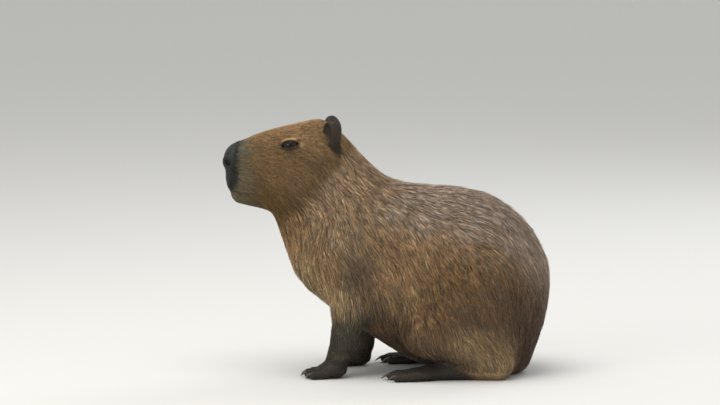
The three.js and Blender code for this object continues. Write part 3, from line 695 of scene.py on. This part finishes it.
# ------------------------------------------------------------------ eyes and claws
for side, s in (("left", -1), ("right", 1)):
    nu, nv = 48, 32
    u, v, w = eye_frame(s)
    th = np.linspace(0, math.pi, nv + 1)[1:-1]
    ph = np.arange(nu) / nu * 2 * math.pi
    T, Ph = np.meshgrid(th, ph, indexing="ij")
    # a clear bulge over the pupil
    rr = EYE_R + .5 * np.exp(-(T / .45) ** 2)
    ring = (np.cos(T)[..., None] * w + np.sin(T)[..., None] * (np.cos(Ph)[..., None] * u + np.sin(Ph)[..., None] * v)) * rr[..., None]
    pts = np.vstack([ring.reshape(-1, 3), (EYE_R + .5) * w, -EYE_R * w]) + EYE_C * (1, s, 1)
    ang = np.concatenate([T.ravel(), [0, math.pi]])
    f = []
    for i in range(nv - 2):
        for j in range(nu):
            a, b2 = i * nu + j, i * nu + (j + 1) % nu
            f += [(a, a + nu, b2 + nu), (a, b2 + nu, b2)]
    top, bot = len(pts) - 2, len(pts) - 1
    for j in range(nu):
        f.append((top, j, (j + 1) % nu))
        f.append((bot, (nv - 2) * nu + (j + 1) % nu, (nv - 2) * nu + j))
    f = np.array(f)
    if s > 0:
        f = f[:, ::-1]
    ob = make_mesh("eyeball_" + side, pts, f, 3)
    # outward faces whichever way the frame turns
    nrm = np.cross(pts[f[:, 1]] - pts[f[:, 0]], pts[f[:, 2]] - pts[f[:, 0]])
    if (nrm * (pts[f[:, 0]] - EYE_C * (1, s, 1))).sum() < 0:
        ob.data.flip_normals()
    pupil, iris = step(.46, .38, ang), step(.95, .8, ang)
    col = lin(22, 11, 7)[None] * (1 - iris[:, None]) + lin(36, 15, 8)[None] * iris[:, None]
    col = col * (1 - pupil[:, None]) + lin(6, 5, 5)[None] * pupil[:, None]
    paint(ob, "Col", col)
    ob.data.materials.append(M_EYE)
    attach(ob, "root")
    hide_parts("eye_" + side)

for name, tip, a, ln, r in TOES:
    d = np.array([-math.cos(a), math.sin(a), 0])
    lat = np.array([-d[1], d[0], 0])
    up = r * .9
    ctl = np.array([tip + d * (k + 4) + (0, 0, h) for k, h in ((-6, up), (2, up), (8, up * .4), (ln - 2, -up))])
    path = catmull(ctl, 5)
    nr, rad = len(path), 12
    tg = unit(np.gradient(path, axis=0))
    nm = unit(np.cross(lat[None], tg))
    uu = np.linspace(0, 1, nr)
    rr = r * (1 - .8 * uu ** 2)
    an = np.arange(rad) / rad * 2 * math.pi
    ringv = path[:, None] + rr[:, None, None] * (1.15 * np.cos(an)[None, :, None] * lat + .85 * np.sin(an)[None, :, None] * nm[:, None] * np.where(np.sin(an) < 0, .7, 1)[None, :, None])
    pts = np.vstack([ringv.reshape(-1, 3), path[-1] + tg[-1] * .8, path[0]])
    pts[:, 2] = np.maximum(pts[:, 2], .2)
    f = []
    for i in range(nr - 1):
        for j in range(rad):
            p0, p1 = i * rad + j, i * rad + (j + 1) % rad
            f += [(p0, p1, p1 + rad), (p0, p1 + rad, p0 + rad)]
    for j in range(rad):
        f.append(((nr - 1) * rad + j, (nr - 1) * rad + (j + 1) % rad, nr * rad))
        f.append(((j + 1) % rad, j, nr * rad + 1))
    f = np.array(f)
    nrm = np.cross(pts[f[:, 1]] - pts[f[:, 0]], pts[f[:, 2]] - pts[f[:, 0]])
    if (nrm * (pts[f[:, 0]] - path.mean(0))).sum() < 0:
        f = f[:, ::-1]
    ob = make_mesh(name.replace("claw", "nail"), pts, f, 3)
    g = np.concatenate([np.repeat(uu, rad), [1, 0]])
    paint(ob, "Col", lin(44, 38, 32)[None] * (1 - g[:, None]) + lin(84, 76, 64)[None] * g[:, None])
    ob.data.materials.append(M_CLAW)
    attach(ob, "root")
    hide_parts(name)

# ------------------------------------------------------------------ coat
# the lie of the coat in the side view: place x, z and the way the hair points, x, z
LIE = np.array([
    (-78, 463, .6, -.8), (-89, 484, .35, -.94), (-187, 397, .75, -.66), (-165, 310, .15, -.99), (-197, 255, .1, -1),
    (-78, 310, .45, -.9), (95, 267, .5, -.87), (117, 376, .92, -.38), (200, 376, .95, -.3), (269, 288, .55, -.83), (323, 157, .05, -1),
    (182, 157, .4, -.92), (225, 50, .5, -.86), (30, 70, .3, -.95), (290, 70, -.1, -1), (-89, 80, -.05, -1),
    (-317, 441, 1, -.1), (-208, 528, .95, .3), (-262, 376, .85, -.5), (-150, 535, .95, -.3), (0, 430, .8, -.6), (40, 300, .45, -.9),
])


def lie(p, n):
    x, y, z = p[:, 0], p[:, 1], p[:, 2]
    d2 = (x[:, None] - LIE[None, :, 0]) ** 2 + (z[:, None] - LIE[None, :, 1]) ** 2
    w = 1 / (d2 + 30 ** 2) ** 1.6
    dx, dz = (w * LIE[None, :, 2]).sum(1), (w * LIE[None, :, 3]).sum(1)
    l = np.hypot(dx, dz)
    t = np.stack([dx / l, .30 * np.sign(y) * step(0, 40, np.abs(y)) * np.clip(n[:, 2], 0, 1), dz / l], 1)
    foot = step(52, 30, z) * step(205, 150, x)
    t = t * (1 - foot)[:, None] + foot[:, None] * np.array([-1.0, 0, -.15])
    t = t - n * (t * n).sum(1)[:, None]
    bad = np.linalg.norm(t, axis=1) < .15
    t[bad] += (np.array([1.0, 0, 0]) - n * n[:, :1])[bad]
    return unit(t)


tri = np.vstack([quads[:, [0, 1, 2]], quads[:, [0, 2, 3]]])
A, B, C = verts[tri[:, 0]], verts[tri[:, 1]], verts[tri[:, 2]]
nrm = np.cross(B - A, C - A)
area = np.linalg.norm(nrm, axis=1) / 2
cen = (A + B + C) / 3
fn = nrm / np.maximum(area * 2, 1e-9)[:, None]
fo, fs = sampler(FO), sampler(FS)


def no_coat(c):
    """bare places: nose, eyes, ear hollows, soles"""
    x, y, z = c[:, 0], np.abs(c[:, 1]), c[:, 2]
    bare = step(-330, -338, x - .16 * (z - 450)) * step(395, 405, z)
    d = c - np.where(c[:, 1:2] > 0, EYE_C, EYE_C * (1, -1, 1))
    eye = np.zeros(len(c))
    for s in (-1, 1):
        u, v, w = eye_frame(s)
        q = c - EYE_C * (1, s, 1)
        eye = np.maximum(eye, (((q @ u) / 25) ** 2 + ((q @ v + 2) / 9.0) ** 2 < 1) & (q @ w > 0))
    e, h = ears(c)
    hollow = ((h < 2.5) & (z > 485)).astype(float)
    sole = (z < 3).astype(float)
    return np.clip(bare + eye + hollow + sole, 0, 1)


def region_of(c):
    x, y, z = c[:, 0], c[:, 1], c[:, 2]
    t = rib_at(x, z)[6]
    hd = head_amount(x, z) > .5
    low = (leg_amount(x, z) > .5)
    reg = np.where(t < 10.0, 1, np.where(t < 12.3, 2, np.where(t < 14.7, 3, 4)))
    reg = reg * 2 + (y > 0)
    reg = np.where(hd, np.where(y > 0, 10, 0), reg)
    reg = np.where(low, 1, reg)
    return reg


REG = region_of(cen)
NAMES = {0: "fur_head_left", 10: "fur_head_right", 1: "fur_legs", 2: "fur_neck_left", 3: "fur_neck_right", 4: "fur_side_left", 5: "fur_side_right",
         6: "fur_back_left", 7: "fur_back_right", 8: "fur_rump_left", 9: "fur_rump_right"}
bare = no_coat(cen)
hd_c, low_c = head_amount(cen[:, 0], cen[:, 2]), np.clip(leg_amount(cen[:, 0], cen[:, 2]), 0, 1)
muz_c = hd_c * step(-240, -310, cen[:, 0])
# tufts per square millimetre
dens = .125 * (1 - hd_c) + .23 * hd_c + .10 * muz_c
dens = dens * (1 - low_c) + .16 * low_c
dens = dens * (1 - bare)
under = (cen[:, 2] < 60) & (fn[:, 2] < -.6)
dens[under] *= .35
want = dens * area
scale_d = 1.0
cum = np.cumsum(want)
N = int(cum[-1] * scale_d)
pick = np.searchsorted(cum, (np.arange(N) + RNG.random(N)) / N * cum[-1])
pick = np.minimum(pick, len(cum) - 1)
r1, r2 = RNG.random(N), RNG.random(N)
fl = r1 + r2 > 1
r1[fl], r2[fl] = 1 - r1[fl], 1 - r2[fl]
root = A[pick] + (B - A)[pick] * r1[:, None] + (C - A)[pick] * r2[:, None]
reg = REG[pick]
nor = unit(grad(fs, root, 3.0))
hd, low = hd_c[pick], low_c[pick]
muz = muz_c[pick]
foot = step(60, 38, root[:, 2])

# locks: long narrow groups along the lie, whose tufts share a tone and draw together at the tips
NC = N // 9
cidx = RNG.choice(N, NC, replace=False)
kd = kdtree.KDTree(NC)
for i, q in enumerate(root[cidx]):
    kd.insert(q, i)
kd.balance()
cand = np.array([[c[1] for c in kd.find_n(q, 7)] for q in root])
lie_root = lie(root, nor)
side_root = np.cross(nor, lie_root)
dq = root[:, None, :] - root[cidx][cand]
al = (dq * lie_root[cidx][cand]).sum(2)
ac = (dq * side_root[cidx][cand]).sum(2)
best = ((al / 3.2) ** 2 + ac ** 2).argmin(1)
lock = cand[np.arange(N), best]
across = np.clip(ac[np.arange(N), best], -14, 14)
lock_tone, lock_turn, lock_len, lock_lift = RNG.normal(size=NC), RNG.normal(size=NC), RNG.normal(size=NC), RNG.random(NC)

body_len = 60 + 5 * wave(root, 80, 11)
x, y, z = root.T
neckf = step(-30, -110, x) * (1 - hd)
body_len = body_len + 5 * step(200, 300, x) - 4 * neckf
length = body_len * (1 - hd) + (11 + 7 * step(-235, -160, x)) * hd
length = length * (1 - muz) + 5.5 * muz
length = length * (1 - low) + (13 * (1 - foot) + 5.5 * foot) * low
# hair near the floor ends above it
length = np.where(hd < .5, np.minimum(length, np.maximum(z, 3) * .95 + 4), length)
isear = (np.abs(x - EAR_C[0]) < 26) & (np.abs(y) > 44) & (z > 500) & (ears(root)[0] < 4)
length[isear] = 6
length *= np.clip(1 + .13 * lock_len[lock] + .12 * RNG.normal(size=N), .55, 1.5)
width = (1.75 + .4 * RNG.normal(size=N)) * (1 - hd) + 1.15 * hd
width = width * (1 - muz) + .8 * muz
width = width * (1 - low) + (1.3 * (1 - foot) + .8 * foot) * low
width[isear] = .8
width = np.clip(width, .6, 3.4)
thick = RNG.random(N) < .24
width = np.where(thick & (hd < .5) & (low < .5), width * 1.7, width)
depth = coat_depth(x, y, z)

ang = .08 * wave(root, 90, 21) + .05 * lock_turn[lock] + .05 * RNG.normal(size=N) + .03 * wave(root, 25, 22)
ang -= np.clip(.62 * across / length, -.3, .3)
fr = np.array([.38, .72, 1.0])
level = np.array([.50, .82, .98])
SEG = 3


def rotate_in_plane(t, n, a):
    return t * np.cos(a)[:, None] + np.cross(n, t) * np.sin(a)[:, None]


pts, nors = [root - nor * .8], [nor]
cur = root.copy()
lift = RNG.random(N) * .5 + .5 * lock_lift[lock]
onhead = hd > .5
prev = 0
stray = (RNG.random(N) < .10) * (1 - hd) * (1 - low)
hang = step(.25, -.30, nor[:, 2]) * (1 - hd) * (1 - low) * step(20, 60, z)
for k in range(SEG):
    n = nors[-1]
    t = rotate_in_plane(lie(cur, n), n, ang * (1 + .3 * k))
    cur = cur + t * (length * (fr[k] - prev))[:, None]
    prev = fr[k]
    base = fo(cur)
    g = grad(fo, cur, 3.0)
    g2 = np.maximum((g * g).sum(1), .2)
    n = unit(g)
    tgt = -depth * (1 - level[k] * (.55 + .55 * lift) - .30 * stray * fr[k])
    mv = np.clip(tgt - base, -depth * 1.2 - 6, depth * 1.2 + 6)
    mv = np.where(mv < 0, mv * (1 - .62 * hang), mv)
    cur = cur + n * (np.where(isear, 0, mv) / np.sqrt(g2))[:, None]
    n[isear] = unit(grad(fs, cur[isear], 2.0))
    cur[onhead] += n[onhead] * np.maximum(.4 - fs(cur[onhead]), 0)[:, None]
    cur[isear] += n[isear] * (.25 - fs(cur[isear]))[:, None] + n[isear] * .5 * fr[k]
    pts.append(cur.copy())
    nors.append(n)
for q in pts:
    q[:, 2] = np.maximum(q[:, 2], 1.5)

WID = np.array([.62, 1.0, .78])


def tuft_mesh(m, ks):
    """closed three-sided locks for the chosen tufts, through rings ks and ending at the tip; corners, faces, ring of each corner"""
    vv, rk = [], []
    for i, k in enumerate(ks):
        nxt = ks[i + 1] if i + 1 < len(ks) else SEG
        tg = unit(pts[nxt][m] - pts[k][m])
        b = unit(np.cross(nors[k][m], tg))
        n = np.cross(tg, b)
        w = (width[m] * WID[k])[:, None]
        vv += [pts[k][m] - b * w * .5, pts[k][m] + b * w * .5, pts[k][m] + n * w * .34]
        rk += [k] * 3
    vv.append(pts[-1][m])
    rk.append(SEG)
    f = [(0, 2, 1)]
    for k in range(len(ks) - 1):
        o = 3 * k
        for a, b in ((0, 1), (1, 2), (2, 0)):
            f += [(o + a, o + b, o + 3 + b), (o + a, o + 3 + b, o + 3 + a)]
    o = 3 * (len(ks) - 1)
    f += [(o, o + 1, o + 3), (o + 1, o + 2, o + 3), (o + 2, o, o + 3)]
    f = np.array(f)
    V = np.stack(vv, 1)
    V[..., 2] = np.maximum(V[..., 2], .05)
    t = V[:200][:, f]
    if np.einsum("nfi,nfi->n", t[:, :, 0] - V[:200, None, -1], np.cross(t[:, :, 1] - V[:200, None, -1], t[:, :, 2] - V[:200, None, -1])).sum() < 0:
        f = f[:, ::-1]
    return V, f, np.array(rk)


# long hair takes the colour of the place it lies over
long_hair = (hd < .5) & (low < .5)
col = markings_and_painted_light(np.where(long_hair[:, None], .4 * pts[1] + .6 * pts[2], root))
tone = np.exp(.13 * lock_tone[lock] + .10 * RNG.normal(size=N) + .05 * wave(root, 40, 31))
dark_hair = RNG.random(N) < .12
tone = np.where(dark_hair & (hd < .5), tone * .66, tone)
pale = RNG.random(N) < .12
tone = np.where(pale, tone * 1.28, tone)
warm = .05 * RNG.normal(size=N)
col = col * tone[:, None] * np.stack([1 + warm, np.ones(N), 1 - 1.2 * warm], 1)
ALONG = np.array([.62, .88, 1.0, 1.12])

# places on an unwrap of the skin: along the ribs and round them, or down and round each leg
R = rib_at(root[:, 0], root[:, 2])
phi = (np.arctan2(root[:, 1], R[0]) / (2 * math.pi)) % 1.0
tt = R[6]
COUNTS = {}
for r, name in NAMES.items():
    m = reg == r
    if not m.any():
        continue
    if r == 1:
        fore = root[m, 0] < 40
        s = root[m, 1] > 0
        cx = np.where(fore, np.where(s, -30, -85), 150)
        cy = np.where(fore, 88, 110) * np.where(s, 1, -1)
        a = (np.arctan2(root[m, 1] - cy, root[m, 0] - cx) / (2 * math.pi)) % 1
        hgt = np.clip(root[m, 2] / 190, 0, 1)
        rad_ = np.clip(np.hypot(root[m, 0] - cx, root[m, 1] - cy) / 190, 0, 1)
        hgt = np.where(fore, hgt, .5 * hgt + .5 * rad_)
        uvr = np.stack([.02 + .46 * a + .5 * fore, .02 + .46 * hgt + .5 * s], 1)
    else:
        a, b = tt[m], phi[m]
        b = b if (r % 2 == 1 or r == 10) else 1 - b
        lo_a, hi_a = a.min(), a.max()
        lo_b, hi_b = b.min(), b.max()
        uvr = np.stack([.02 + .95 * (a - lo_a) / (hi_a - lo_a), .02 + .95 * (b - lo_b) / (hi_b - lo_b)], 1)
    P = .0015
    short = r in (0, 1, 10)
    V, F1, rk = tuft_mesh(m, [0, 1] if short else [0, 1, 2])
    corner = [(-P, -P), (P, -P), (0, -P), (-P, 0), (P, 0), (0, 0), (-P * .8, P * .5), (P * .8, P * .5), (0, P * .5)][:V.shape[1] - 1] + [(0, P)]
    uvv = (uvr[:, None, :] + np.array(corner)[None]).reshape(-1, 2)
    cnt, nv = int(m.sum()), V.shape[1]
    faces = (F1[None] + (np.arange(cnt) * nv)[:, None, None]).reshape(-1, 3)
    ob = make_mesh(name, V.reshape(-1, 3), faces, 3)
    uv_map(ob, "OFBake", uvv, faces)
    paint(ob, "Col", np.clip(col[m][:, None, :] * ALONG[rk][None, :, None], 0, 1).reshape(-1, 3))
    ob.data.materials.append(M_COAT)
    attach(ob, "root")
    COUNTS[name] = len(faces)

# ------------------------------------------------------------------ CAD nodes' own materials
for nm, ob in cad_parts.items():
    m, nt, b = material("cad_" + nm)
    nz = node(nt, "ShaderNodeTexNoise")
    nz.inputs["Scale"].default_value = 60
    rp = node(nt, "ShaderNodeValToRGB")
    c = TONE["flank"]
    rp.color_ramp.elements[0].color = (*(c * .7), 1)
    rp.color_ramp.elements[1].color = (*c, 1)
    nt.links.new(nz.outputs["Fac"], rp.inputs["Fac"])
    nt.links.new(rp.outputs["Color"], b.inputs["Base Color"])
    b.inputs["Roughness"].default_value = .8
    ob.data.materials.clear()
    ob.data.materials.append(m)

# ------------------------------------------------------------------ floor, light
bpy.ops.mesh.primitive_plane_add(size=60, location=(0, 0, 0))
floor = bpy.context.object
floor.name = "floor"
mf, nt, b = material("floor")
nz = node(nt, "ShaderNodeTexNoise")
nz.inputs["Scale"].default_value = 3
rp = node(nt, "ShaderNodeValToRGB")
rp.color_ramp.elements[0].color = (.62, .61, .585, 1)
rp.color_ramp.elements[1].color = (.67, .66, .635, 1)
nt.links.new(nz.outputs["Fac"], rp.inputs["Fac"])
nt.links.new(rp.outputs["Color"], b.inputs["Base Color"])
b.inputs["Roughness"].default_value = .9
floor.data.materials.append(mf)


def area_light(name, loc, size, energy, colour, aim=(0, 0, .3)):
    d = bpy.data.lights.new(name, "AREA")
    d.shape = "DISK"
    d.size = size
    d.energy = energy
    d.color = colour
    o = bpy.data.objects.new(name, d)
    o.location = loc
    v = np.array(aim) - np.array(loc)
    from mathutils import Vector
    o.rotation_euler = Vector(v).to_track_quat("-Z", "Y").to_euler()
    bpy.context.scene.collection.objects.link(o)
    return o


area_light("sky", (-.6, -.8, 4.2), 3.4, 125, (1, .985, .96))
area_light("side", (-3.4, -3.2, 2.0), 2.6, 55, (1, .97, .92))
area_light("back", (2.2, 2.6, 2.8), 2.0, 40, (.94, .97, 1))
world = bpy.data.worlds.new("world")
bpy.context.scene.world = world
world.use_nodes = True
bg = world.node_tree.nodes["Background"]
bg.inputs["Color"].default_value = (.90, .91, .91, 1)
bg.inputs["Strength"].default_value = .8
bpy.context.scene.view_settings.view_transform = "Standard"
bpy.context.scene.view_settings.look = "None"

print("coat", sum(COUNTS.values()), COUNTS, "skin", len(quads) * 2)
